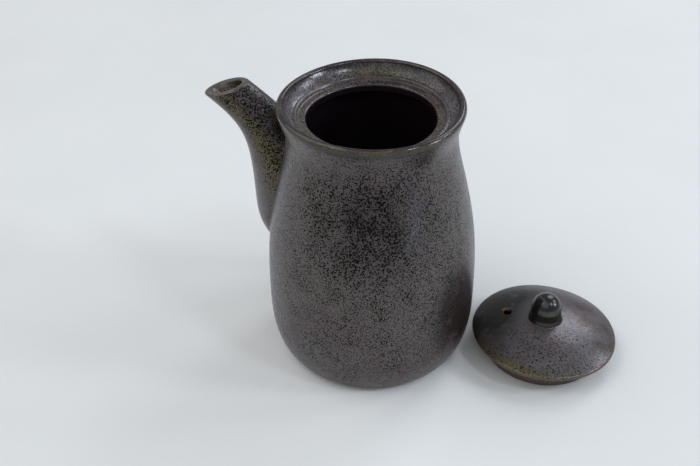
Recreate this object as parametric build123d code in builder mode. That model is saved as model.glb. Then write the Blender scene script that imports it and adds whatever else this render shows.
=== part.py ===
"""Lidded stoneware sake bottle with a luted pouring spout, its lid laid beside it.

Millimetres. +Z is up along the bottle's axis, the origin is the centre of its foot
on the table, and the spout points along -X. Two loose pieces of fired clay:
the bottle (thrown vessel and luted spout) and the lid (domed cap and luted knob).
"""
from build123d import *
from math import cos, radians, sin
import os

# --- vessel, outside ---------------------------------------------------------
height = 129.0              # table to the top of the lip
lip_radius = 40.5           # largest radius of the lip
neck_radius = 37.2          # narrowest part, under the lip
neck_height = 113.5
throat_radius = 40.3        # where the wall draws in towards the neck
throat_height = 95.5
shoulder_radius = 46.6      # halfway between belly and neck
shoulder_height = 64.5
belly_radius = 48.2         # widest part
belly_height = 33.0
flank_radius = 47.0         # where the rise from the heel eases
flank_height = 14.0
heel_radius = 43.8          # where the wall starts above the rounded heel
heel_height = 4.4
heel_middle = (41.3, 1.5)   # radius and height halfway round the heel

# --- foot --------------------------------------------------------------------
foot_radius = 38.6          # outer edge of the ring that stands on the table
foot_ring_inner = 32.0
foot_ring_slope = 2.0       # radial width of the ring's sloped inner side
foot_recess = 2.0           # depth of the hollow inside the ring

# --- vessel, inside ----------------------------------------------------------
wall = 4.0
floor_top = 6.5             # inside bottom
inner_heel_radius = 36.5    # where the inside floor turns up into the wall

# --- gallery: the lid's seat inside the lip ------------------------------------
mouth_radius = 28.0         # the opening that the lid's tenon drops through
mouth_depth = 7.0           # lip top to the edge of the opening
seat_radius = 32.0          # ridge that carries the lid
seat_depth = 5.3
ledge_thickness = 3.4
lip_width = 3.0             # radial width of the rounded lip
lip_drop = 1.9              # height over which the outside rounds over into the lip
lip_outer_round = (0.45, 0.6)  # middle of the lip's outer arc, inward and down
lip_inner_round = (0.4, 0.35)  # middle of the lip's inner arc, inward and down
cove_start = 1.2            # lip top to the start of the cove inside it
cove_hollow = (1.7, 1.75)   # middle of the cove, in from the lip and above the seat
seat_width = 1.6            # rounded ridge between the cove and the step
seat_crown = (0.5, 0.1)     # middle of the ridge, out from the step and above the seat
seat_round = 0.3            # height lost at the ridge's inner edge
step_batter = (0.5, 0.4)    # foot of the step, inward and above the ledge
mouth_edge_round = 1.2      # rounding between the ledge and the opening
mouth_edge_middle = (0.3, 0.35)
ledge_haunch = (4.3, 1.6)   # thickening under the ledge, outward and down

# --- spout -------------------------------------------------------------------
# Centreline of the horn in the XZ plane, as distance from the bottle's axis and height.
spout_root = (37.6, 61.7)
spout_lower_pull = (39.0, 82.0)
spout_upper_pull = (43.2, 107.3)
spout_mouth = (70.5, 122.6)
spout_tail = (35.0, 47.0)   # closed lower end, inside the vessel's wall
spout_tail_radius = 11.2
# Outer radius at each quarter of the centreline, from the root up.
spout_radii = (17.3, 17.6, 14.7, 10.4)
spout_wall_root = 3.4
spout_wall_mouth = 3.0
mouth_slope = 18.3          # degrees that the spout's mouth falls towards its tip
mouth_half_length = 10.7    # half of the mouth's opening, wall included, along the spout
mouth_half_width = 9.1
pour_hole_radius = 5.0      # hole through the vessel's wall behind the spout
pour_hole_height = 78.0
inner_bore = 25.0           # the hole is drilled from outside to this distance off the axis

# --- lid, lying on its tenon beside the bottle ---------------------------------
lid_distance = 83.2         # bottle axis to lid axis
lid_bearing = 13.6          # degrees from +X towards +Y
lid_radius = 34.2
lid_edge_height = 10.7      # sharp edge of the cap above the tenon's end
lid_edge_thickness = 0.9
dome_rise = 8.5             # crown of the cap above its edge
dome_middle = (18.8, 2.7)   # a point on the dome, out from the axis and below the crown
edge_batter = 0.4           # how far the cap's edge leans in towards its underside
cap_thickness = 3.6
tenon_radius = 27.2
tenon_wall = 3.4
tenon_chamfer = 0.8
hollow_middle = (13.35, 1.2)    # a point under the dome, out from the axis and below its top
tenon_shoulder = 9.0        # underside of the cap above the tenon's end
vent_radius = 1.7
vent_distance = 18.0        # lid axis to vent hole
vent_bearing = 183.8        # degrees from +X towards +Y

# --- knob --------------------------------------------------------------------
knob_foot_radius = 7.9
knob_waist_radius = 7.2
knob_radius = 7.0           # also the radius of its domed top
knob_waist = 3.5            # heights above the crown of the cap
knob_shoulder = 5.7
knob_sink = 1.0             # how far its foot reaches under the crown before trimming

lid_x = lid_distance * cos(radians(lid_bearing))
lid_y = lid_distance * sin(radians(lid_bearing))
lid_plane = Plane(origin=(lid_x, lid_y, 0), x_dir=(1, 0, 0), z_dir=(0, -1, 0))
lid_axis = Axis((lid_x, lid_y, 0), (0, 0, 1))

os.makedirs("parts", exist_ok=True)


def outer_wall():
    """Draw the outside of the vessel from its foot to the lip, inside a BuildLine."""
    ThreePointArc(
        (foot_radius, 0),
        heel_middle,
        (heel_radius, heel_height),
    )
    Spline(
        (heel_radius, heel_height),
        (flank_radius, flank_height),
        (belly_radius, belly_height),
        (shoulder_radius, shoulder_height),
        (throat_radius, throat_height),
        (neck_radius, neck_height),
        tangents=((0.55, 1), (0, 1)),
    )
    Spline(
        (neck_radius, neck_height),
        (lip_radius, height - lip_drop),
        tangents=((0, 1), (0.25, 1)),
    )
    ThreePointArc(
        (lip_radius, height - lip_drop),
        (lip_radius - lip_outer_round[0], height - lip_outer_round[1]),
        (lip_radius - lip_width / 2, height),
    )


# The vessel's outside as a filled form, which trims the spout to the wall.
with BuildPart() as vessel_form:
    with BuildSketch(Plane.XZ):
        with BuildLine():
            outer_wall()
            Polyline((lip_radius - lip_width / 2, height), (0, height), (0, 0), (foot_radius, 0))
        make_face()
    revolve(axis=Axis.Z)

# Vessel: thrown wall, foot ring, lip, and the gallery that takes the lid.
seat_height = height - seat_depth
mouth_height = height - mouth_depth
ledge_foot = mouth_height - ledge_thickness
lip_inner = lip_radius - lip_width
with BuildPart() as vessel:
    with BuildSketch(Plane.XZ):
        with BuildLine():
            outer_wall()
            ThreePointArc(
                (lip_radius - lip_width / 2, height),
                (lip_inner + lip_inner_round[0], height - lip_inner_round[1]),
                (lip_inner, height - cove_start),
            )
            ThreePointArc(
                (lip_inner, height - cove_start),
                (lip_inner - cove_hollow[0], seat_height + cove_hollow[1]),
                (seat_radius + seat_width, seat_height - seat_crown[1]),
            )
            ThreePointArc(
                (seat_radius + seat_width, seat_height - seat_crown[1]),
                (seat_radius + seat_crown[0], seat_height + seat_crown[1]),
                (seat_radius, seat_height - seat_round),
            )
            Polyline(
                (seat_radius, seat_height - seat_round),
                (seat_radius - step_batter[0], mouth_height + step_batter[1]),
                (mouth_radius + mouth_edge_round, mouth_height),
            )
            ThreePointArc(
                (mouth_radius + mouth_edge_round, mouth_height),
                (mouth_radius + mouth_edge_middle[0], mouth_height - mouth_edge_middle[1]),
                (mouth_radius, mouth_height - mouth_edge_round),
            )
            Line(
                (mouth_radius, mouth_height - mouth_edge_round),
                (mouth_radius, ledge_foot),
            )
            ThreePointArc(
                (mouth_radius, ledge_foot),
                (mouth_radius + ledge_haunch[0], ledge_foot - ledge_haunch[1]),
                (neck_radius - wall, neck_height),
            )
            Spline(
                (neck_radius - wall, neck_height),
                (throat_radius - wall, throat_height),
                (shoulder_radius - wall, shoulder_height),
                (belly_radius - wall, belly_height),
                (inner_heel_radius, floor_top),
                tangents=((0, -1), (-1, -0.25)),
            )
            Polyline(
                (inner_heel_radius, floor_top),
                (0, floor_top),
                (0, foot_recess),
                (foot_ring_inner - foot_ring_slope, foot_recess),
                (foot_ring_inner, 0),
                (foot_radius, 0),
            )
        make_face()
    revolve(axis=Axis.Z)
    with BuildSketch(Plane.YZ.offset(-belly_radius)):
        with Locations((0, pour_hole_height)):
            Circle(pour_hole_radius)
    extrude(amount=belly_radius - inner_bore, mode=Mode.SUBTRACT)
vessel.part.label = "vessel"
export_step(vessel.part, "parts/vessel.step")

# Spout: a hollow horn lofted along its centreline and cut to fit the vessel's wall.
with BuildLine(Plane.XZ) as spout_path:
    Bezier(*[(-r, z) for r, z in (spout_root, spout_lower_pull, spout_upper_pull, spout_mouth)])
tail_plane = Plane(origin=(-spout_tail[0], 0, spout_tail[1]), z_dir=(0, 0, 1))
slope = radians(mouth_slope)
mouth_plane = Plane(
    origin=(-spout_mouth[0], 0, spout_mouth[1]),
    x_dir=(-cos(slope), 0, -sin(slope)),
    z_dir=(-sin(slope), 0, cos(slope)),
)


def horn_sections(wall_root, wall_mouth):
    """Return the horn's cross-sections, thinned by a wall that tapers to the mouth."""
    with BuildSketch(tail_plane) as tail:
        Circle(spout_tail_radius - wall_root)
    sections = [tail.sketch]
    for index, radius in enumerate(spout_radii):
        station = index / len(spout_radii)
        thickness = wall_root + (wall_mouth - wall_root) * station
        centre = spout_path.line @ station
        direction = spout_path.line % station
        with BuildSketch(Plane(origin=centre, x_dir=(0, 1, 0), z_dir=direction)) as section:
            Circle(radius - thickness)
        sections.append(section.sketch)
    with BuildSketch(mouth_plane) as mouth:
        Ellipse(mouth_half_length - wall_mouth, mouth_half_width - wall_mouth)
    sections.append(mouth.sketch)
    return sections


with BuildPart() as spout:
    loft(horn_sections(0, 0))
    loft(horn_sections(spout_wall_root, spout_wall_mouth), mode=Mode.SUBTRACT)
    add(vessel_form.part, mode=Mode.SUBTRACT)
spout.part.label = "spout"
export_step(spout.part, "parts/spout.step")

# Lid cap: shallow dome, sharp edge, tenon below and a vent hole near the knob.
crown = lid_edge_height + dome_rise
with BuildPart() as lid_cap:
    with BuildSketch(lid_plane):
        with BuildLine():
            ThreePointArc(
                (0, crown),
                (dome_middle[0], crown - dome_middle[1]),
                (lid_radius, lid_edge_height),
            )
            Polyline(
                (lid_radius, lid_edge_height),
                (lid_radius - edge_batter, lid_edge_height - lid_edge_thickness),
                (tenon_radius, tenon_shoulder),
                (tenon_radius, tenon_chamfer),
                (tenon_radius - tenon_chamfer, 0),
                (tenon_radius - tenon_wall, 0),
                (tenon_radius - tenon_wall, tenon_shoulder),
            )
            ThreePointArc(
                (tenon_radius - tenon_wall, tenon_shoulder),
                (hollow_middle[0], crown - cap_thickness - hollow_middle[1]),
                (0, crown - cap_thickness),
            )
            Line((0, crown - cap_thickness), (0, crown))
        make_face()
    revolve(axis=lid_axis)
    with BuildSketch(Plane.XY):
        with Locations((
            lid_x + vent_distance * cos(radians(vent_bearing)),
            lid_y + vent_distance * sin(radians(vent_bearing)),
        )):
            Circle(vent_radius)
    extrude(amount=crown, mode=Mode.SUBTRACT)
lid_cap.part.label = "lid_cap"
export_step(lid_cap.part, "parts/lid_cap.step")

# Lid knob: a small domed post, flared where it is luted to the cap.
shoulder = crown + knob_shoulder
with BuildPart() as lid_knob:
    with BuildSketch(lid_plane):
        with BuildLine():
            Polyline(
                (0, shoulder + knob_radius),
                (0, crown - knob_sink),
                (knob_foot_radius, crown - knob_sink),
            )
            Spline(
                (knob_foot_radius, crown - knob_sink),
                (knob_waist_radius, crown + knob_waist),
                (knob_radius, shoulder),
                tangents=((-0.25, 1), (0, 1)),
            )
            CenterArc((0, shoulder), knob_radius, 0, 90)
        make_face()
    revolve(axis=lid_axis)
    add(lid_cap.part, mode=Mode.SUBTRACT)
lid_knob.part.label = "lid_knob"
export_step(lid_knob.part, "parts/lid_knob.step")
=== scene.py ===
"""Iron-glazed stoneware sake bottle with a luted spout, its lid laid beside it.

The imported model's frame: +Z up along the bottle's axis, the spout towards -X, the lid on
the +X side. Sizes are in millimetres until a mesh is made, and bearings are in degrees from
+X to +Y. The meshes repeat the design's driving sizes at a finer grain and add what the
plain solids leave out: the slight wobble of thrown clay, rounded edges, and fillets where
the spout and the knob were luted on.
"""
from math import atan2, cos, pi, radians, sin

import bpy
import numpy as np
from mathutils import Euler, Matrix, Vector


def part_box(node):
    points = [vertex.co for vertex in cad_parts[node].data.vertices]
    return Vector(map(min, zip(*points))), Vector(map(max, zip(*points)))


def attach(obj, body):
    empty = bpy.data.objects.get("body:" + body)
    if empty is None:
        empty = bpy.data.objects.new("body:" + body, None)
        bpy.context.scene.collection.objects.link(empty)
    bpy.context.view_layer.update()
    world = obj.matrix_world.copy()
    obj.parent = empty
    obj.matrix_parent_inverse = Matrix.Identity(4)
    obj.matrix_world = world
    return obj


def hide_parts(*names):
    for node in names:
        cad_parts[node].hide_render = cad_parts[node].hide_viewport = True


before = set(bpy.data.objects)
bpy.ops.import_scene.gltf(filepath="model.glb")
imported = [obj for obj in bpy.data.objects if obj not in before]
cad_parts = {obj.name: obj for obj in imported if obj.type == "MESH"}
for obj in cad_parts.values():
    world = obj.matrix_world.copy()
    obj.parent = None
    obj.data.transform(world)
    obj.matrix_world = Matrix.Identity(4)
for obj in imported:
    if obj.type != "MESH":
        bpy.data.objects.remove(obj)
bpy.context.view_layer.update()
MM = 0.001

# --- sizes in millimetres, as in the design ---------------------------------------------
HEIGHT = 129.0
LIP_RADIUS = 40.5
LIP_WIDTH = 3.0
LIP_DROP = 1.9
LIP_OUTER_ROUND = (0.45, 0.6)
LIP_INNER_ROUND = (0.4, 0.35)
WALL = 4.0
WALL_POINTS = ((43.8, 4.4), (47.0, 14.0), (48.2, 33.0), (46.6, 64.5), (40.3, 95.5), (37.2, 113.5))
HEEL_MIDDLE = (41.3, 1.5)
FOOT_RADIUS = 38.6
FOOT_RING_INNER = 32.0
FOOT_RECESS = 2.0
FLOOR_TOP = 6.5
INNER_HEEL_RADIUS = 36.5
MOUTH_RADIUS = 28.0
MOUTH_HEIGHT = HEIGHT - 7.0
SEAT_RADIUS = 32.0
SEAT_HEIGHT = HEIGHT - 5.3
LEDGE_THICKNESS = 3.4
LEDGE_HAUNCH = (4.3, 1.6)
COVE_START = 1.2
COVE_HOLLOW = (1.7, 1.75)
SEAT_WIDTH = 1.6
SEAT_CROWN = (0.5, 0.1)
SEAT_ROUND = 0.3
STEP_BATTER = (0.5, 0.4)
MOUTH_EDGE_ROUND = 1.2
MOUTH_EDGE_MIDDLE = (0.3, 0.35)
SPOUT_PATH = ((37.6, 61.7), (39.0, 82.0), (43.2, 107.3), (70.5, 122.6))
SPOUT_TAIL = (35.0, 47.0)
SPOUT_TAIL_RADIUS = 11.2
SPOUT_RADII = (17.3, 17.6, 14.7, 10.4)
SPOUT_WALL_ROOT = 3.4
SPOUT_WALL_MOUTH = 3.0
SPOUT_MOUTH_RADII = (10.7, 9.1)
SPOUT_MOUTH_SLOPE = 18.3
POUR_HOLE_RADIUS = 5.0
POUR_HOLE_HEIGHT = 78.0
LID_RADIUS = 34.2
LID_EDGE = 10.7
LID_EDGE_THICKNESS = 0.9
LID_EDGE_BATTER = 0.4
DOME_RISE = 8.5
DOME_MIDDLE = (0.55, 0.31)   # middle of the dome's arc, as shares of its radius and rise
CAP_THICKNESS = 3.6
TENON_RADIUS = 27.2
TENON_WALL = 3.4
TENON_SHOULDER = 9.0
VENT_RADIUS = 1.7
VENT_DISTANCE = 18.0
VENT_BEARING = 183.8
KNOB_FOOT_RADIUS = 7.9
KNOB_WAIST_RADIUS = 7.2
KNOB_RADIUS = 7.0
KNOB_WAIST = 3.5
KNOB_SHOULDER = 5.7

# --- finish of the fired clay -----------------------------------------------------------
FRONT = -68.6                # bearing of the side that faces the camera
SEAM_FILLET = 1.8            # reach of the smoothed clay where the spout meets the wall
SUNK = 0.25                  # unit for how far hidden edges lie under the surface they join
SPOUT_ROLL = 1.0             # length of the spout taken up by its rounded lip
VENT_FLARE = 0.7             # rounding of the vent hole's edge
WOBBLE = 0.12                # how far the thrown wall strays from a true circle
RIPPLE = 0.008               # height of the finger rings left by throwing
RIPPLE_SPACING = (6.2, 3.9)
LIP_SWELL = 0.2              # how far the lip stands out past its true circle all round
LIP_WAVES = ((0.45, 3, 85), (0.3, 2, 108))   # size, number and bearing of the lip's waves
LID_TILT = 0.03              # slope of the cap, down away from the bottle
TURN = 320                   # steps round the vessel
LID_TURN = 288
HORN_TURN = 160

lid_low, lid_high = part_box("lid_cap")
LID_AXIS = ((lid_low + lid_high) / 2 / MM).to_2d()
CROWN = LID_EDGE + DOME_RISE


# --- curves -----------------------------------------------------------------------------
def spline(points, count, start=None, end=None):
    """Cubic through the points by chord length, with the given or free end directions."""
    p = np.array(points, float)
    h = np.linalg.norm(np.diff(p, axis=0), axis=1)
    knots = np.concatenate([[0], np.cumsum(h)])
    n = len(p)
    matrix = np.zeros((n, n))
    target = np.zeros_like(p)
    for row, near, direction in ((0, 1, start), (n - 1, n - 2, end)):
        matrix[row, row] = 1
        if direction is None:
            matrix[row, near] = 0.5
            gap = h[min(row, near)]
            target[row] = 1.5 * (p[max(row, near)] - p[min(row, near)]) / gap
        else:
            target[row] = np.array(direction) / np.linalg.norm(direction)
    for i in range(1, n - 1):
        matrix[i, i - 1:i + 2] = (h[i], 2 * (h[i] + h[i - 1]), h[i - 1])
        ahead = (p[i + 1] - p[i]) / h[i] * h[i - 1]
        behind = (p[i] - p[i - 1]) / h[i - 1] * h[i]
        target[i] = 3 * (ahead + behind)
    slope = np.linalg.solve(matrix, target)
    at = np.linspace(0, knots[-1], count)
    k = np.clip(np.searchsorted(knots, at, side="right") - 1, 0, n - 2)
    t = ((at - knots[k]) / h[k])[:, None]
    step = h[k][:, None]
    return (
        (1 + 2 * t) * (1 - t) ** 2 * p[k] + t * (1 - t) ** 2 * step * slope[k]
        + t * t * (3 - 2 * t) * p[k + 1] + t * t * (t - 1) * step * slope[k + 1]
    )


def arc(a, b, c, count):
    """Circle arc from a through b to c."""
    a, b, c = (np.array(v, float) for v in (a, b, c))
    centre = np.linalg.solve(2 * np.array([b - a, c - a]), [b @ b - a @ a, c @ c - a @ a])
    first, middle, last = (atan2(*(v - centre)[::-1]) for v in (a, b, c))
    turn = (last - first) % (2 * pi)
    if (middle - first) % (2 * pi) > turn:
        turn -= 2 * pi
    angle = first + turn * np.linspace(0, 1, count)
    return centre + np.linalg.norm(a - centre) * np.stack([np.cos(angle), np.sin(angle)], 1)


def blend(a, corner, b, count):
    """Quadratic curve from a to b that is pulled towards a corner. Works on whole rings."""
    t = np.linspace(0, 1, count).reshape((-1,) + (1,) * np.ndim(a))
    return (1 - t) ** 2 * np.array(a) + 2 * t * (1 - t) * np.array(corner) + t * t * np.array(b)


def straight(a, b, count):
    return np.linspace(a, b, count)


def join(*runs):
    """One line of points from runs that meet end to end."""
    return np.concatenate([runs[0]] + [run[1:] for run in runs[1:]])


def smoothstep(low, high, x):
    t = np.clip((x - low) / (high - low), 0, 1)
    return t * t * (3 - 2 * t)


def direction(bearing, elevation=0):
    """Unit vector along a bearing, raised by an elevation."""
    b, e = radians(bearing), radians(elevation)
    return Vector((cos(b) * cos(e), sin(b) * cos(e), sin(e)))


def near_bearing(points, bearing, half_width):
    """1 along a bearing from the Z axis, falling to 0 at the half width, in degrees."""
    angle = np.degrees(np.arctan2(points[:, 1], points[:, 0]))
    away = np.abs((angle - bearing + 180) % 360 - 180)
    return 1 - smoothstep(0, half_width, away)


def bump_at(x, centre, reach):
    """1 at the centre, falling to 0 at the reach."""
    return 1 - smoothstep(0, reach, np.abs(x - centre))


# --- meshes -----------------------------------------------------------------------------
def make_piece(name, points, faces, masks, origin=(0, 0)):
    """Smooth mesh object from points in millimetres, with a value a point for each mask."""
    mesh = bpy.data.meshes.new(name)
    mesh.from_pydata((np.asarray(points) * MM).tolist(), [], faces)
    mesh.validate()
    for mask, values in masks.items():
        layer = mesh.attributes.new(mask, "FLOAT", "POINT")
        layer.data.foreach_set("value", np.asarray(values, np.float32))
    mesh.shade_smooth()
    piece = bpy.data.objects.new(name, mesh)
    piece.location = (origin[0] * MM, origin[1] * MM, 0)
    bpy.context.scene.collection.objects.link(piece)
    return piece


def ring_faces(rings, around, closed=False):
    """Quads between successive rings of points."""
    faces = []
    for i in range(rings if closed else rings - 1):
        a = i * around
        b = (i + 1) % rings * around
        for j in range(around):
            k = (j + 1) % around
            faces.append((a + j, a + k, b + k, b + j))
    return faces


def turned(profile, around, displace=None):
    """Points and faces of a profile turned about Z, whose two ends lie on the axis."""
    turn = np.linspace(0, 2 * pi, around, endpoint=False)
    r, z = (profile[1:-1, k, None] + np.zeros(around) for k in (0, 1))
    if displace is not None:
        r = r + displace(turn + 0 * z, z)
    points = np.stack([r * np.cos(turn), r * np.sin(turn), z], -1).reshape(-1, 3)
    faces = ring_faces(len(r), around)
    start = len(points)
    last = (len(r) - 1) * around
    for j in range(around):
        k = (j + 1) % around
        faces.append((start, k, j))
        faces.append((start + 1, last + j, last + k))
    points = np.concatenate([points, [[0, 0, profile[0, 1]], [0, 0, profile[-1, 1]]]])
    return points, faces


def spread(values, around):
    """A value for each point of a turned profile, from one value for each profile point."""
    return np.concatenate([np.repeat(values[1:-1], around), [values[0], values[-1]]])


def plain_masks(points, **values):
    """The glaze's masks with one value each, 0 where none is given."""
    names = ("specks", "dark", "olive", "lustre_and_painted_sheen", "gloss", "worn", "inside", "bare")
    return {name: np.full(len(points), values.get(name, 0.0)) for name in names}


def cut(piece, cutter, crease):
    """Subtract the cutter from the piece, and keep only edges past the crease angle sharp."""
    modifier = piece.modifiers.new("cut", "BOOLEAN")
    modifier.operation = "DIFFERENCE"
    modifier.solver = "EXACT"
    modifier.object = cutter
    graph = bpy.context.evaluated_depsgraph_get()
    mesh = bpy.data.meshes.new_from_object(piece.evaluated_get(graph))
    piece.modifiers.clear()
    piece.data = mesh
    mesh.shade_smooth()
    mesh.set_sharp_from_angle(angle=radians(crease))
    bpy.data.objects.remove(cutter)


# --- vessel -----------------------------------------------------------------------------
def outside_profile():
    """Outside of the vessel from the edge of its foot to the top of its lip."""
    lip_start = (LIP_RADIUS, HEIGHT - LIP_DROP)
    lip_middle = (LIP_RADIUS - LIP_OUTER_ROUND[0], HEIGHT - LIP_OUTER_ROUND[1])
    return join(
        arc((FOOT_RADIUS, 0), HEEL_MIDDLE, WALL_POINTS[0], 14),
        spline(WALL_POINTS, 96, (0.55, 1), (0, 1)),
        spline((WALL_POINTS[-1], lip_start), 24, (0, 1), (0.25, 1)),
        arc(lip_start, lip_middle, (LIP_RADIUS - LIP_WIDTH / 2, HEIGHT), 10),
    )


def gallery_profile():
    """From the top of the lip down the cove, over the seat and ledge to the neck's inside."""
    lip_inner = LIP_RADIUS - LIP_WIDTH
    lip_top = (LIP_RADIUS - LIP_WIDTH / 2, HEIGHT)
    lip_middle = (lip_inner + LIP_INNER_ROUND[0], HEIGHT - LIP_INNER_ROUND[1])
    cove_top = (lip_inner, HEIGHT - COVE_START)
    cove_middle = (lip_inner - COVE_HOLLOW[0], SEAT_HEIGHT + COVE_HOLLOW[1])
    cove_foot = (SEAT_RADIUS + SEAT_WIDTH, SEAT_HEIGHT - SEAT_CROWN[1])
    crown = (SEAT_RADIUS + SEAT_CROWN[0], SEAT_HEIGHT + SEAT_CROWN[1])
    step_edge = (SEAT_RADIUS, SEAT_HEIGHT - SEAT_ROUND)
    step_foot = (SEAT_RADIUS - STEP_BATTER[0], MOUTH_HEIGHT + STEP_BATTER[1])
    ledge_edge = (MOUTH_RADIUS + MOUTH_EDGE_ROUND, MOUTH_HEIGHT)
    edge_middle = (MOUTH_RADIUS + MOUTH_EDGE_MIDDLE[0], MOUTH_HEIGHT - MOUTH_EDGE_MIDDLE[1])
    mouth_edge = (MOUTH_RADIUS, MOUTH_HEIGHT - MOUTH_EDGE_ROUND)
    mouth_foot = (MOUTH_RADIUS, MOUTH_HEIGHT - LEDGE_THICKNESS)
    haunch = (MOUTH_RADIUS + LEDGE_HAUNCH[0], mouth_foot[1] - LEDGE_HAUNCH[1])
    neck = (WALL_POINTS[-1][0] - WALL, WALL_POINTS[-1][1])
    return join(
        arc(lip_top, lip_middle, cove_top, 8),
        arc(cove_top, cove_middle, cove_foot, 14),
        arc(cove_foot, crown, step_edge, 6),
        blend(step_edge, (SEAT_RADIUS - 0.35, MOUTH_HEIGHT + 0.8), step_foot, 6),
        blend(step_foot, (SEAT_RADIUS - 0.9, MOUTH_HEIGHT + 0.05), ledge_edge, 6),
        arc(ledge_edge, edge_middle, mouth_edge, 6),
        straight(mouth_edge, mouth_foot, 5),
        arc(mouth_foot, haunch, neck, 12),
    )


def inside_profile():
    """Inside of the wall from the neck down, across the floor to the axis."""
    wall = [(r - WALL, z) for r, z in reversed(WALL_POINTS[2:])]
    heel = (INNER_HEEL_RADIUS + 4, FLOOR_TOP + 7)
    turn_in = (INNER_HEEL_RADIUS - 6, FLOOR_TOP)
    return join(
        spline(wall + [heel], 40, (0, -1), (-0.35, -1)),
        blend(heel, (INNER_HEEL_RADIUS + 1, FLOOR_TOP), turn_in, 10),
        straight(turn_in, (0, FLOOR_TOP), 12),
    )


def foot_profile():
    """Underside from the axis out to the edge of the foot ring."""
    recess_edge = (FOOT_RING_INNER - 2, FOOT_RECESS)
    ring_inner = (FOOT_RING_INNER, 0.5)
    ring_start = (FOOT_RING_INNER + 1.2, 0)
    ring_outer = (FOOT_RADIUS - 0.6, 0)
    return join(
        straight((0, FOOT_RECESS), recess_edge, 10),
        blend(recess_edge, (FOOT_RING_INNER - 0.6, FOOT_RECESS), ring_inner, 6),
        blend(ring_inner, (FOOT_RING_INNER + 0.3, 0), ring_start, 4),
        straight(ring_start, ring_outer, 6),
        straight(ring_outer, (FOOT_RADIUS, 0), 2),
    )


OUTSIDE = outside_profile()


def wobble(turn, z):
    """How far the thrown wall strays from its true radius, most of all at the lip."""
    lip = LIP_SWELL
    for size, number, bearing in LIP_WAVES:
        lip = lip + size * np.cos(number * (turn - radians(bearing)))
    ease = smoothstep(0, 12, z) * (1 - smoothstep(112, 124, z))
    oval = np.cos(2 * (turn - 0.6)) + 0.5 * np.cos(3 * turn + 1.1 + z / 40)
    wide, narrow = (2 * pi * z / spacing + turn for spacing in RIPPLE_SPACING)
    rings = np.sin(wide) + 0.6 * np.sin(narrow + 2.0)
    return ease * (WOBBLE * oval + RIPPLE * rings) + lip * smoothstep(108, 126, z)


def wall_radius(turn, z):
    """Outer radius of the wall at an angle and height below the lip."""
    rising = OUTSIDE[np.concatenate([[True], np.diff(OUTSIDE[:, 1]) > 0])]
    return np.interp(z, rising[:, 1], rising[:, 0]) + wobble(turn, z)


def wall_masks(points):
    """The outside: speckled, darkest in an area in front and on the side beside the lid. The dark
    in front is painted reflection, the dark beside the lid and under the front of the lip is
    painted shade, and the pale bands down the sides are painted highlight.
    """
    z = points[:, 2]
    # painted dark reflection: the front that faces the camera is darkened in colour; the denser
    # specks there are the glaze's own
    dense_specks_and_painted_reflection = near_bearing(points, FRONT, 58) * bump_at(z, 94, 44)
    # painted shade: the lower side beside the lid is darkened where the lid shades it and is
    # mirrored in it
    painted_shade_by_lid = near_bearing(points, -14, 30) * bump_at(z, 36, 36)
    smudge = near_bearing(points, -36, 14) * bump_at(z, 121, 7)
    specks = 0.62 + 0.42 * dense_specks_and_painted_reflection - 0.15 * smoothstep(106, 121, z) - 0.2 * smoothstep(22, 4, z)
    specks -= 0.12 * (1 - near_bearing(points, FRONT, 150))
    specks += 0.5 * smudge

    front_lip = near_bearing(points, FRONT, 120)
    # painted shade under the overhang of the lip at the front
    painted_shade_under_lip = front_lip * bump_at(z, HEIGHT - 2.8, 1.8)
    rim = bump_at(z, HEIGHT, 2.0)
    # painted highlight: a pale streak beside the dark front, which also thins the dark there
    beside = near_bearing(points, -43, 13) * bump_at(z, 91, 26)
    dark = dense_specks_and_painted_reflection ** 1.3 * (1 - 0.85 * beside) + 0.4 * smudge + 2.2 * painted_shade_by_lid
    dark += 3 * painted_shade_under_lip + 1.3 * rim

    # painted reflection: pale bands down the left and right sides and low on the left
    left = near_bearing(points, -152, 42) * (1 - 0.6 * smoothstep(96, 116, z))
    right = near_bearing(points, 14, 30) * bump_at(z, 86, 50)
    low_left = near_bearing(points, -122, 34) * bump_at(z, 24, 24)
    painted_sheen_wall = beside + (left + 0.2 * right) * (1 - dense_specks_and_painted_reflection) + 0.6 * low_left
    return {
        "specks": specks,
        "dark": dark,
        "olive": 0.6 * front_lip * bump_at(z, HEIGHT - 1.2, 0.9),
        "lustre_and_painted_sheen": painted_sheen_wall * smoothstep(2, 10, z),
        "gloss": smoothstep(HEIGHT - 4, HEIGHT - 2, z),
        "worn": bump_at(z, HEIGHT - 0.2, 1.1) * (0.5 - 0.4 * front_lip),
        "inside": 0 * z,
        "bare": smoothstep(0.6, 0.1, z),
    }


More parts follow.
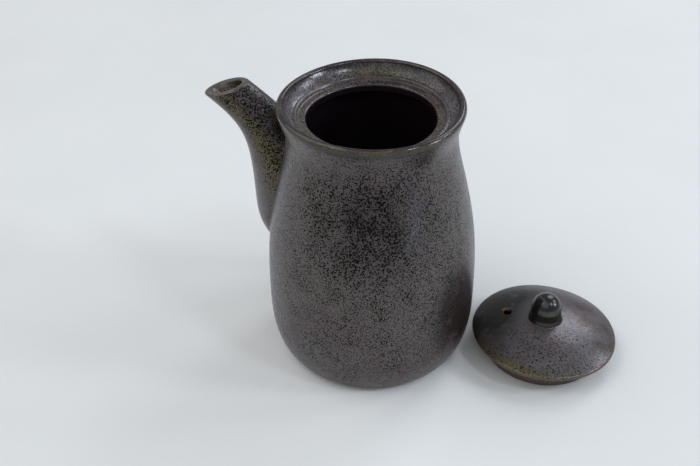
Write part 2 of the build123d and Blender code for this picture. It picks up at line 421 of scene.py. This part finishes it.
def gallery_masks(points):
    """The gallery: glossy, pale in the cove to the left and right as painted highlight, dark and
    olive at the back, black below the mouth as painted shade.
    """
    r = np.hypot(points[:, 0], points[:, 1])
    z = points[:, 2]
    cove = z > MOUTH_HEIGHT - 0.5
    rim = bump_at(z, HEIGHT, 2.0)
    back = near_bearing(points, 92, 75)
    line = bump_at(r, LIP_RADIUS - 3.4, 1.2)
    pool = near_bearing(points, 100, 50) * bump_at(r, LIP_RADIUS - 5.2, 3.2)
    # painted highlight: the cove is pale at its left and right where it mirrors the windows
    cove_painted_highlight = near_bearing(points, 172, 85) + 0.7 * near_bearing(points, 25, 60)
    lip_worn = bump_at(z, HEIGHT - 0.2, 1.1) * (0.5 - 0.4 * near_bearing(points, FRONT, 120))
    return {
        "specks": cove * (0.6 + 0.4 * back),
        "dark": cove * (0.85 * (back + 0.8 * line) + 1.3 * rim),
        "olive": 0.8 * cove * pool,
        "lustre_and_painted_sheen": cove * 2.4 * cove_painted_highlight * bump_at(r, LIP_RADIUS - 5.6, 4.4),
        "gloss": 0.8 * cove,
        "worn": lip_worn + cove * bump_at(r, SEAT_RADIUS, 0.8),
        # painted shade: near black below the mouth's edge, down into the bottle
        "inside": smoothstep(MOUTH_HEIGHT - 0.2, MOUTH_HEIGHT - 0.9, z),
        "bare": 0 * z,
    }


def vessel_masks(points, zone):
    """Masks of the wall (zone 0), gallery (1), inside painted black as shade (2) and bare foot
    (3).
    """
    r = np.hypot(points[:, 0], points[:, 1])
    zones = (
        wall_masks(points),
        gallery_masks(points),
        # the whole inside of the bottle is painted shade
        plain_masks(points, inside=1),
        plain_masks(points) | {"bare": r > FOOT_RING_INNER - 1},
    )
    masks = {name: np.choose(zone, [each[name] for each in zones]) for name in zones[0]}
    masks["dark"] = masks["dark"].clip(0, 3)
    masks["lustre_and_painted_sheen"] = masks["lustre_and_painted_sheen"].clip(0, 2)
    return masks


def make_vessel():
    runs = [foot_profile()[:-1], OUTSIDE, gallery_profile()[1:], inside_profile()[1:]]
    zone = np.concatenate([np.full(len(run), k) for run, k in zip(runs, (3, 0, 1, 2))])
    points, faces = turned(np.concatenate(runs), TURN, wobble)
    masks = vessel_masks(points, spread(zone, TURN))
    vessel = make_piece("sake_vessel", points, faces, masks)
    cut(vessel, pouring_drill(), 35)
    return vessel


def pouring_drill():
    """Cutter for the hole through the wall behind the spout."""
    length = WALL_POINTS[2][0] / 2
    profile = join(
        straight((0, 0), (POUR_HOLE_RADIUS, 0), 4),
        straight((POUR_HOLE_RADIUS, 0), (POUR_HOLE_RADIUS, length), 8),
        straight((POUR_HOLE_RADIUS, length), (0, length), 4),
    )
    points, faces = turned(profile, 48)
    along = points[:, [2, 1, 0]] * (-1, 1, 1) - (length, 0, -POUR_HOLE_HEIGHT)
    # the hole's wall takes these masks through the cut, so it is painted shade
    return make_piece("drill", along, faces, plain_masks(points, inside=1))


# --- spout ------------------------------------------------------------------------------
def path_at(t):
    """Point and direction of the spout's centreline, as distance from the axis and height."""
    a, b, c, d = (np.array(point) for point in SPOUT_PATH)
    point = (1 - t) ** 3 * a + 3 * t * (1 - t) ** 2 * b + 3 * t * t * (1 - t) * c + t ** 3 * d
    return point, (1 - t) ** 2 * (b - a) + 2 * t * (1 - t) * (c - b) + t * t * (d - c)


def horn_ring(centre, lean, radii):
    """Ellipse round a centre, tipped outward by the lean. Its first point is the outermost."""
    turn = np.linspace(0, 2 * pi, HORN_TURN, endpoint=False)
    along = radii[0] * np.cos(turn)
    distance = centre[0] + along * cos(lean)
    return np.stack([-distance, radii[1] * np.sin(turn), centre[1] - along * sin(lean)], 1)


def horn_lines(thin_root, thin_mouth):
    """Lines up the horn from tail to mouth, thinned by a wall. Steps around, along, XYZ."""
    tail = SPOUT_TAIL_RADIUS - thin_root
    rings = [horn_ring(SPOUT_TAIL, 0, (tail, tail))]
    for index, radius in enumerate(SPOUT_RADII):
        station = index / len(SPOUT_RADII)
        centre, direction = path_at(station)
        inner = radius - thin_root + (thin_root - thin_mouth) * station
        rings.append(horn_ring(centre, atan2(*direction), (inner, inner)))
    mouth = [radius - thin_mouth for radius in SPOUT_MOUTH_RADII]
    rings.append(horn_ring(SPOUT_PATH[-1], radians(SPOUT_MOUTH_SLOPE), mouth))
    return np.array([spline(line, 600) for line in np.stack(rings, 1)])


def over_wall(points):
    """How far points stand outside the vessel's wall."""
    turn = np.arctan2(points[..., 1], points[..., 0])
    return np.hypot(points[..., 0], points[..., 1]) - wall_radius(turn, points[..., 2])


def on_wall(points, depth):
    """The points moved along their radius to a depth under the vessel's surface."""
    turn = np.arctan2(points[:, 1], points[:, 0])
    scale = (wall_radius(turn, points[:, 2]) - depth) / np.hypot(points[:, 0], points[:, 1])
    return points * np.stack([scale, scale, np.ones(len(points))], 1)


def part_of_line(line, depth, root_gap, mouth_gap, count):
    """Even steps up a horn line from the wall to the mouth, less a gap at each end."""
    under = np.nonzero(over_wall(line) < -depth)[0][-1]
    step = np.linalg.norm(np.diff(line[under:], axis=0), axis=1)
    length = np.concatenate([[0], np.cumsum(step)])
    at = np.linspace(root_gap, length[-1] - mouth_gap, count)
    return np.stack([np.interp(at, length, line[under:, k]) for k in range(3)], 1)


def horn_part(lines, depth, root_gap, mouth_gap, count):
    """Rings of points up the horn, as steps along, around, XYZ."""
    parts = [part_of_line(line, depth, root_gap, mouth_gap, count) for line in lines]
    return np.stack(parts, 1)


def away_from(ring):
    """Directions along the vessel's wall that lead away from a closed seam on it."""
    tangent = np.roll(ring, -1, 0) - np.roll(ring, 1, 0)
    normal = ring * (1, 1, 0)
    away = np.cross(normal, tangent)
    away /= np.linalg.norm(away, axis=1)[:, None]
    outward = np.sign(np.sum(away * (ring - ring.mean(0)), 1).sum())
    return away * outward


def spout_masks(points, rings, part):
    """Specks and an olive streak down the front of the horn, a pale painted highlight on its outer
    side, painted shade on the side towards the bottle and in the channel.
    """
    turn = np.tile(np.linspace(0, 360, HORN_TURN, endpoint=False), rings)
    height = points[:, 2]

    def beside(middle, core, reach):
        """1 within the core angle of a line up the horn, falling to 0 at the reach."""
        away = np.abs((turn - middle + 180) % 360 - 180)
        return 1 - smoothstep(core, reach, away)

    outside = part == 0
    streak = beside(256 + 10 * smoothstep(92, 118, height), 5, 36) * smoothstep(60, 78, height)
    return {
        "specks": outside * (0.12 + 0.75 * beside(225, 40, 75)) + 0.5 * (part == 2),
        # painted shade on the side of the horn that faces the bottle, and in the channel
        "dark": outside * 0.85 * beside(190, 42, 72) + 0.5 * (part == 2),
        "olive": outside * streak + 0.6 * (part == 2) * smoothstep(106, 114, height),
        # painted highlight: pale on the outer side of the horn
        "lustre_and_painted_sheen": outside * 0.6 * beside(315, 20, 60),
        "gloss": np.where(part == 1, 0.6, 0.0),
        "worn": np.where(part == 1, 1.0, 0.0),
        # painted shade: the channel goes black down from the mouth
        "inside": (part == 2) * smoothstep(120, 112, height),
        "bare": 0 * height,
    }


def make_spout():
    """Hollow horn whose outside flows into the wall and whose lip is rounded over."""
    outer = horn_lines(0, 0)
    inner = horn_lines(SPOUT_WALL_ROOT, SPOUT_WALL_MOUTH)
    seam = horn_part(outer, 0, 0, SPOUT_ROLL, 2)[0]
    away = away_from(seam)
    foot = on_wall(seam + away * SEAM_FILLET, SUNK / 5)
    hidden = on_wall(seam + away * (SEAM_FILLET + 0.8), 4 * SUNK)
    horn = horn_part(outer, 0, SEAM_FILLET, SPOUT_ROLL, 64)
    channel = horn_part(inner, 4 * SUNK, 0, SPOUT_ROLL, 44)[::-1]
    outer_edge, inner_edge = outer[:, -1], inner[:, -1]
    top = 0.6 * outer_edge + 0.4 * inner_edge
    runs = [
        hidden[None],
        blend(foot, seam, horn[0], 14)[:-1],
        horn,
        blend(horn[-1], outer_edge, top, 7)[1:],
        blend(top, inner_edge, channel[0], 7)[1:],
        channel[1:],
    ]
    part = np.concatenate([np.full(len(run), k) for run, k in zip(runs, (0, 0, 0, 1, 1, 2))])
    rings = np.concatenate(runs)
    points = rings.reshape(-1, 3)
    faces = ring_faces(len(rings), HORN_TURN, closed=True)
    masks = spout_masks(points, len(rings), np.repeat(part, HORN_TURN))
    return make_piece("sake_spout", points, faces, masks)


# --- lid --------------------------------------------------------------------------------
def dome_arc():
    """Top of the cap from the crown to the edge."""
    middle = (LID_RADIUS * DOME_MIDDLE[0], CROWN - DOME_RISE * DOME_MIDDLE[1])
    return arc((0, CROWN), middle, (LID_RADIUS, LID_EDGE), 80)


def dome_height(r):
    """Height of the cap's top at a distance from the lid's axis."""
    dome = dome_arc()
    return np.interp(r, dome[:, 0], dome[:, 1])


def cap_profile():
    """Cap and tenon, from the inside of the dome round the tenon and edge to the crown."""
    hollow = TENON_RADIUS - TENON_WALL
    underside = CROWN - CAP_THICKNESS
    vault_foot = (hollow - 2, TENON_SHOULDER + 0.9)
    hollow_top = (hollow, TENON_SHOULDER - 1.6)
    foot_inner = ((hollow, 0.7), (hollow + 0.8, 0))
    foot_outer = ((TENON_RADIUS - 1.0, 0), (TENON_RADIUS, 1.0))
    shoulder = ((TENON_RADIUS, TENON_SHOULDER - 0.7), (TENON_RADIUS + 0.8, TENON_SHOULDER + 0.1))
    dome = dome_arc()[::-1]
    edge_foot = (LID_RADIUS - LID_EDGE_BATTER, LID_EDGE - LID_EDGE_THICKNESS)
    return join(
        arc((0, underside), (TENON_RADIUS * 0.5, underside - 1.2), vault_foot, 26),
        blend(vault_foot, (hollow, TENON_SHOULDER + 0.6), hollow_top, 8),
        straight(hollow_top, foot_inner[0], 8),
        blend(foot_inner[0], (hollow, 0), foot_inner[1], 5),
        straight(foot_inner[1], foot_outer[0], 3),
        blend(foot_outer[0], (TENON_RADIUS, 0), foot_outer[1], 6),
        straight(foot_outer[1], shoulder[0], 10),
        blend(shoulder[0], (TENON_RADIUS, TENON_SHOULDER), shoulder[1], 5),
        straight(shoulder[1], edge_foot, 10),
        blend(edge_foot, (LID_RADIUS + 0.1, LID_EDGE - 0.55), dome[2], 8),
        dome[2:],
    )


def cap_wobble(turn, z):
    """How far the cap's edge strays from a true circle."""
    ease = smoothstep(0, 3, z) * smoothstep(CROWN, LID_EDGE + 2, z)
    return ease * 0.12 * (np.cos(2 * turn + 0.4) + 0.6 * np.cos(5 * turn + 1.9))


def tilted(points):
    """The points with the cap's slope added, which fades out down the tenon."""
    right = direction(FRONT + 90)
    away = points[:, 0] * right.x + points[:, 1] * right.y
    drop = LID_TILT * away * smoothstep(0, LID_EDGE, points[:, 2])
    return points - np.stack([0 * drop, 0 * drop, drop], 1)


def cap_masks(points):
    """Specks and olive towards the front, rust along the edge, bare clay under the tenon. The top
    is painted darker as reflection on the side towards the bottle and at the back, bluish with a
    painted highlight right of the knob, and the hollow is painted black as shade.
    """
    r = np.hypot(points[:, 0], points[:, 1])
    z = points[:, 2]
    top = (z > LID_EDGE - 0.35) & (z > CROWN - CAP_THICKNESS + 0.6 - (r / 9) ** 2)
    front = near_bearing(points, FRONT - 14, 130)
    left = near_bearing(points, 178, 85)
    pool = near_bearing(points, FRONT - 26, 70) * bump_at(r, LID_RADIUS - 2.4, 3.4)
    edge = smoothstep(LID_EDGE - 1.2, LID_EDGE - 0.5, z)
    edge = edge * smoothstep(LID_RADIUS - 0.9, LID_RADIUS - 0.3, r)
    vent = direction(VENT_BEARING) * VENT_DISTANCE
    chip = np.hypot(points[:, 0] - vent.x + 0.7, points[:, 1] - vent.y - 0.9)
    chip = smoothstep(2.9, 2.1, chip) * top
    return {
        "specks": top * (0.62 * front * smoothstep(7, 16, r)),
        # painted dark reflection: the top is darkened on the side towards the bottle and at the
        # back
        "dark": top * (1.7 * left + 0.6 * near_bearing(points, 125, 60)) * smoothstep(6, 24, r),
        "olive": top * pool,
        # bluish tone over the top, partly the lid's own, with a painted highlight to the right of
        # the knob
        "lustre_and_painted_sheen": top * (0.7 + 0.3 * near_bearing(points, 0, 85) * bump_at(r, 17, 18)),
        "gloss": 0.0 * r,
        "worn": np.clip(edge + chip, 0, 1),
        # painted shade: the hollow under the cap is coloured near black
        "inside": ~top & (r < TENON_RADIUS - TENON_WALL + 0.3) & (z > 1),
        "bare": (z < 0.9) & ~top,
    }


def vent_drill():
    """Cutter for the vent hole, flared at the top so that its edge is rounded."""
    top = CROWN - DOME_RISE * (VENT_DISTANCE / LID_RADIUS) ** 2
    low = (VENT_RADIUS, CROWN - CAP_THICKNESS - 8)
    narrow = (VENT_RADIUS, top - VENT_FLARE)
    wide = (VENT_RADIUS + VENT_FLARE, top + 0.25)
    high = (VENT_RADIUS + VENT_FLARE, CROWN + 2)
    profile = join(
        straight((0, low[1]), low, 3),
        straight(low, narrow, 6),
        blend(narrow, (VENT_RADIUS, top), wide, 8),
        straight(wide, high, 3),
        straight(high, (0, high[1]), 3),
    )
    points, faces = turned(profile, 40)
    moved = points + direction(VENT_BEARING) * VENT_DISTANCE
    return make_piece("drill", moved, faces, plain_masks(points, specks=0.2), LID_AXIS)


def make_cap():
    points, faces = turned(cap_profile(), LID_TURN, cap_wobble)
    cap = make_piece("lid_cap_glazed", tilted(points), faces, cap_masks(points), LID_AXIS)
    cut(cap, vent_drill(), 40)
    return cap


def make_knob():
    """Domed post with a soft ridge round its shoulder and a fillet down to the cap."""
    shoulder = CROWN + KNOB_SHOULDER
    ridge = KNOB_RADIUS + 0.12
    spread_foot = KNOB_FOOT_RADIUS + 0.5
    dome_start = (KNOB_RADIUS - 0.03, shoulder + 0.6)
    dome_middle = (KNOB_RADIUS * cos(pi / 4), shoulder + KNOB_RADIUS * sin(pi / 4))
    side = spline(
        [(KNOB_FOOT_RADIUS - 0.2, CROWN + 0.5), (KNOB_FOOT_RADIUS - 0.5, CROWN + 1.6),
         (KNOB_WAIST_RADIUS, CROWN + KNOB_WAIST), (ridge, shoulder - 0.6)],
        26, (-0.3, 1), (0, 1),
    )
    under = dome_height(spread_foot) - 0.6
    foot_edge = (spread_foot, dome_height(spread_foot) - SUNK / 5)
    profile = join(
        straight((0, under), (spread_foot - 0.3, under), 6),
        straight((spread_foot - 0.3, under), foot_edge, 3),
        blend(foot_edge, (KNOB_FOOT_RADIUS - 0.05, dome_height(KNOB_FOOT_RADIUS)), side[0], 9),
        side,
        blend(side[-1], (ridge, shoulder + 0.1), dome_start, 6),
        arc(dome_start, dome_middle, (0, shoulder + KNOB_RADIUS), 26),
    )
    points, faces = turned(profile, 128)
    front = near_bearing(points, FRONT, 48)
    masks = plain_masks(points, specks=0.0, dark=2.0, gloss=0.6)
    masks["olive"] = 0.7 * front * bump_at(points[:, 2], shoulder + 1.0, 2.4)
    masks["worn"] = 0.8 * bump_at(points[:, 2], dome_height(spread_foot) + 0.1, 0.5)
    return make_piece("lid_knob_glazed", tilted(points), faces, masks, LID_AXIS)


# --- materials --------------------------------------------------------------------------
class Nodes:
    """Short calls for the nodes that a material is mixed from, in millimetres on the piece."""

    def __init__(self, name):
        self.material = bpy.data.materials.new(name)
        self.material.use_nodes = True
        self.tree = self.material.node_tree
        self.shader = self.tree.nodes["Principled BSDF"]
        scale = self.tree.nodes.new("ShaderNodeVectorMath")
        scale.operation = "SCALE"
        scale.inputs["Scale"].default_value = 1 / MM
        place = self.tree.nodes.new("ShaderNodeTexCoord")
        self.tree.links.new(place.outputs["Object"], scale.inputs[0])
        self.place = scale.outputs[0]

    def put(self, socket, value):
        """Link a socket to another, or set its value."""
        if isinstance(value, bpy.types.NodeSocket):
            self.tree.links.new(value, socket)
        else:
            socket.default_value = value

    def mask(self, name):
        node = self.tree.nodes.new("ShaderNodeAttribute")
        node.attribute_name = name
        return node.outputs["Fac"]

    def shifted(self, shift):
        """Place on the piece, moved so that two textures of one kind don't line up."""
        mapping = self.tree.nodes.new("ShaderNodeMapping")
        mapping.inputs["Location"].default_value = (shift, shift * 0.7, shift * 1.3)
        self.tree.links.new(self.place, mapping.inputs["Vector"])
        return mapping.outputs["Vector"]

    def noise(self, size, detail, roughness, shift=0.0):
        """Noise whose features are about the size given."""
        node = self.tree.nodes.new("ShaderNodeTexNoise")
        node.inputs["Scale"].default_value = 1 / size
        node.inputs["Detail"].default_value = detail
        node.inputs["Roughness"].default_value = roughness
        self.tree.links.new(self.shifted(shift), node.inputs["Vector"])
        return node.outputs["Fac"]

    def dots(self, size, shift):
        """Distance from the middle of the nearest of many scattered dots, in spacings."""
        node = self.tree.nodes.new("ShaderNodeTexVoronoi")
        node.inputs["Scale"].default_value = 1 / size
        self.tree.links.new(self.shifted(shift), node.inputs["Vector"])
        return node.outputs["Distance"]

    def step(self, value, low, high, top=1.0):
        """Smooth rise from 0 to the top between two values, or a fall if low is above high."""
        node = self.tree.nodes.new("ShaderNodeMapRange")
        node.interpolation_type = "SMOOTHSTEP"
        for socket, number in zip(node.inputs[:5], (value, low, high, 0.0, top)):
            self.put(socket, number)
        return node.outputs["Result"]

    def math(self, operation, *values):
        """Result of a sum on one or more values."""
        node = self.tree.nodes.new("ShaderNodeMath")
        node.operation = operation
        for socket, value in zip(node.inputs, values):
            self.put(socket, value)
        return node.outputs[0]

    def mix(self, factor, a, b):
        """Mix two colours."""
        node = self.tree.nodes.new("ShaderNodeMix")
        node.data_type = "RGBA"
        self.put(node.inputs["Factor"], factor)
        self.put(node.inputs["A"], a)
        self.put(node.inputs["B"], b)
        return node.outputs["Result"]

    def blend(self, factor, a, b):
        """Mix two numbers."""
        node = self.tree.nodes.new("ShaderNodeMix")
        self.put(node.inputs["Factor"], factor)
        self.put(node.inputs["A"], a)
        self.put(node.inputs["B"], b)
        return node.outputs["Result"]

    def bump(self, height, depth):
        """Relief of a depth in millimetres."""
        node = self.tree.nodes.new("ShaderNodeBump")
        node.inputs["Strength"].default_value = 1.0
        node.inputs["Distance"].default_value = depth * MM
        self.put(node.inputs["Height"], height)
        self.tree.links.new(node.outputs["Normal"], self.shader.inputs["Normal"])


def rgb(red, green, blue):
    return (red, green, blue, 1.0)


WARM_GREY = rgb(0.080, 0.064, 0.056)
PLUM_BROWN = rgb(0.078, 0.049, 0.050)
GREY_OLIVE = rgb(0.060, 0.056, 0.037)
IRON_BLACK = rgb(0.005, 0.004, 0.004)
# BROWN_BLACK and DEEP_BLACK are the glaze's own dark, and also painted shade and dark reflection
# where the masks put them
BROWN_BLACK = rgb(0.022, 0.012, 0.010)
OLIVE = rgb(0.092, 0.080, 0.014)
# pale colour of painted highlight and reflection, and partly the lid's own bluish tone
LAVENDER_TONE_AND_PAINTED_SHEEN = rgb(0.160, 0.150, 0.172)
PALE_GRAIN = rgb(0.150, 0.122, 0.112)
BARE_CLAY = rgb(0.085, 0.055, 0.038)
DEEP_BLACK = rgb(0.009, 0.007, 0.006)
INSIDE_PAINTED_SHADE = rgb(0.012, 0.007, 0.010)
THIN_BROWN = rgb(0.092, 0.066, 0.056)
RUST = rgb(0.20, 0.085, 0.022)


def glaze(name, thin_colour, dark_colour, speck_size, shift):
    """Speckled iron glaze over stoneware, steered by the piece's masks."""
    n = Nodes(name)
    specks, dark, olive, lustre_and_painted_sheen = (n.mask(mask) for mask in ("specks", "dark", "olive", "lustre_and_painted_sheen"))
    gloss, worn, inside, bare = (n.mask(mask) for mask in ("gloss", "worn", "inside", "bare"))
    drift = n.noise(26, 3, 0.6, shift)
    mottle = n.noise(3.6, 4, 0.65, shift + 11)
    grain = n.noise(0.55, 2, 0.6, shift + 23)
    cloud = n.noise(9, 3, 0.6, shift + 31)

    ground = n.mix(n.step(drift, 0.42, 0.60), WARM_GREY, PLUM_BROWN)
    ground = n.mix(n.step(cloud, 0.50, 0.66, 0.75), ground, GREY_OLIVE)
    ground = n.mix(n.step(mottle, 0.50, 0.30, 0.35), ground, PLUM_BROWN)
    # painted highlight and reflection where its mask is set, partly the lid's own bluish tone
    ground = n.mix(n.math("MULTIPLY", lustre_and_painted_sheen, n.step(cloud, 0.30, 0.60, 0.85)), ground, LAVENDER_TONE_AND_PAINTED_SHEEN)
    # the dark mix carries painted shade and dark reflection as well as the glaze's own dark
    ground = n.mix(n.math("MULTIPLY", dark, n.step(cloud, 0.25, 0.52, 0.92)), ground, dark_colour)
    pooled = n.math("MULTIPLY", olive, n.step(mottle, 0.30, 0.48))
    ground = n.mix(pooled, ground, OLIVE)
    thin = n.math("MULTIPLY", worn, n.step(mottle, 0.40, 0.56))
    ground = n.mix(thin, ground, thin_colour)
    ground = n.mix(n.step(grain, 0.50, 0.36, 0.45), ground, IRON_BLACK)
    flecks = n.math("MULTIPLY", n.step(grain, 0.52, 0.66, 0.75), n.math("SUBTRACT", 1.0, dark))
    ground = n.mix(flecks, ground, PALE_GRAIN)

    density = n.math("ADD", specks, n.math("MULTIPLY", n.math("SUBTRACT", cloud, 0.5), 1.1))
    threshold = n.math("MULTIPLY_ADD", density, -0.15, 0.645)
    fine = n.noise(speck_size * 0.55, 1.5, 0.5, shift + 7)
    reach = n.math("MULTIPLY_ADD", density, 0.33, 0.06)
    coarse_specks = n.step(n.dots(speck_size, shift + 3), n.math("ADD", reach, 0.10), reach)
    fine_specks = n.step(fine, n.math("ADD", threshold, 0.02), n.math("ADD", threshold, 0.07))
    speck = n.math("MAXIMUM", coarse_specks, n.math("MULTIPLY", fine_specks, 0.8))
    speck = n.math("MULTIPLY", speck, n.step(specks, 0.0, 0.08))
    speck = n.math("MULTIPLY", speck, n.math("SUBTRACT", 1.0, n.math("MULTIPLY", worn, 0.9)))

    colour = n.mix(speck, ground, IRON_BLACK)
    # painted shade: the insides of the hollows are coloured near black
    colour = n.mix(inside, colour, INSIDE_PAINTED_SHADE)
    colour = n.mix(bare, colour, n.mix(n.step(grain, 0.4, 0.6), BARE_CLAY, THIN_BROWN))
    n.put(n.shader.inputs["Base Color"], colour)

    roughness = n.math("MULTIPLY_ADD", mottle, 0.16, 0.21)
    roughness = n.blend(speck, roughness, 0.40)
    roughness = n.blend(gloss, roughness, 0.17)
    roughness = n.blend(inside, roughness, 0.25)
    n.put(n.shader.inputs["Roughness"], n.blend(bare, roughness, 0.85))
    smoky = n.math("SUBTRACT", 0.92, n.math("MULTIPLY", n.math("MAXIMUM", lustre_and_painted_sheen, gloss), 0.75))
    lustre = n.math("MULTIPLY", n.math("MULTIPLY", lustre_and_painted_sheen, 0.5), n.math("SUBTRACT", 1.0, gloss))
    n.put(n.shader.inputs["Metallic"], n.math("MAXIMUM", n.math("MULTIPLY", speck, smoky), lustre))

    peel = n.noise(1.7, 2, 0.5, shift + 41)
    relief = n.math("SUBTRACT", n.math("MULTIPLY", peel, 0.5), n.math("MULTIPLY", speck, 0.35))
    relief = n.math("ADD", relief, n.math("MULTIPLY", grain, n.blend(bare, 0.10, 0.6)))
    n.bump(relief, 0.10)
    n.shader.inputs["IOR"].default_value = 1.6
    n.shader.inputs["Specular Tint"].default_value = rgb(0.93, 0.95, 1.0)
    return n.material


def paper():
    """Pale matt paper that the object stands on."""
    n = Nodes("pale_paper")
    tone = n.step(n.noise(160, 3, 0.6), 0.3, 0.7)
    n.put(n.shader.inputs["Base Color"], n.mix(tone, rgb(0.78, 0.79, 0.80), rgb(0.81, 0.82, 0.83)))
    n.shader.inputs["Roughness"].default_value = 0.85
    n.shader.inputs["Specular IOR Level"].default_value = 0.2
    n.bump(n.noise(0.8, 3, 0.6), 0.05)
    return n.material


# --- setting ----------------------------------------------------------------------------
def make_floor():
    """Flat sheet under everything, finer near the object."""
    reach = 4000.0
    steps = np.concatenate([-np.geomspace(reach, 60, 14), np.geomspace(60, reach, 14)])
    x, y = np.meshgrid(steps, steps)
    points = np.stack([x.ravel(), y.ravel(), np.zeros(x.size)], 1)
    n = len(steps)
    faces = [
        (i * n + j, i * n + j + 1, (i + 1) * n + j + 1, (i + 1) * n + j)
        for i in range(n - 1) for j in range(n - 1)
    ]
    floor = make_piece("floor", points, faces, {})
    floor.data.materials.append(paper())


def make_light(name, bearing, elevation, distance, size, power, colour):
    """Soft rectangular light that faces the object. Distance and size are in metres."""
    light = bpy.data.lights.new(name, "AREA")
    light.shape = "RECTANGLE"
    light.size, light.size_y = size
    light.energy = power
    light.color = colour
    lamp = bpy.data.objects.new(name, light)
    towards = direction(bearing, elevation)
    lamp.location = towards * distance + Vector((0, 0, HEIGHT / 2 * MM))
    lamp.rotation_euler = towards.to_track_quat("Z", "Y").to_euler()
    bpy.context.scene.collection.objects.link(lamp)


def make_world(colour, strength):
    world = bpy.data.worlds.new("room")
    world.use_nodes = True
    background = world.node_tree.nodes["Background"]
    background.inputs["Color"].default_value = colour
    background.inputs["Strength"].default_value = strength
    bpy.context.scene.world = world


def make_camera():
    """Camera in front of the bottle, above and to its right."""
    place_mm = Vector((135.97, -346.36, 334.35))
    heading, down, lean = 23, 36.40, -0.849
    camera = bpy.data.cameras.new("camera")
    camera.sensor_width = 36
    camera.lens = 51.43
    camera.clip_start = 0.01
    seen_from = bpy.data.objects.new("camera", camera)
    seen_from.location = place_mm * MM
    turn = Euler((0, 0, radians(heading))).to_matrix()
    tilt = Euler((radians(90 - down), 0, 0)).to_matrix()
    roll = Euler((0, 0, radians(lean))).to_matrix()
    seen_from.rotation_euler = (turn @ tilt @ roll).to_euler()
    bpy.context.scene.collection.objects.link(seen_from)
    bpy.context.scene.camera = seen_from


def place(piece, material, body, node, slot):
    """Give the piece its glaze and its body, and hide the solid it stands for. Its slot is not
    used.
    """
    piece.data.materials.clear()
    piece.data.materials.append(material)
    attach(piece, body)
    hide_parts(node)


vessel_glaze = glaze("vessel_glaze", THIN_BROWN, BROWN_BLACK, 1.05, 0)
spout_glaze = glaze("spout_glaze", THIN_BROWN, BROWN_BLACK, 1.05, 60)
lid_glaze = glaze("lid_glaze", RUST, DEEP_BLACK, 1.6, 120)
knob_glaze = glaze("knob_glaze", OLIVE, DEEP_BLACK, 1.0, 180)
place(make_vessel(), vessel_glaze, "bottle", "vessel", "vessel_glaze")
place(make_spout(), spout_glaze, "bottle", "spout", "spout_glaze")
place(make_cap(), lid_glaze, "lid", "lid_cap", "lid_glaze")
place(make_knob(), knob_glaze, "lid", "lid_knob", "knob_glaze")

make_floor()
make_camera()
make_world(rgb(0.98, 1.0, 1.0), 0.32)
make_light("front_panel", -95, 55, 1.8, (1.6, 1.6), 6.0, (1.0, 1.0, 0.99))
make_light("left_panel", -165, 50, 1.8, (1.6, 1.6), 11.0, (0.99, 1.0, 1.0))
make_light("right_panel", -14, 51, 1.8, (0.24, 0.34), 3.6, (0.82, 0.91, 1.0))
make_light("window", 12, 28, 1.5, (0.26, 0.34), 4.6, (0.78, 0.89, 1.0))
make_light("far_window", 36, 34, 1.7, (0.4, 0.4), 3.0, (0.88, 0.94, 1.0))
make_light("tall_window", 76, 39, 1.7, (0.6, 1.0), 5.6, (0.88, 0.94, 1.0))
bpy.context.scene.view_settings.view_transform = "Standard"
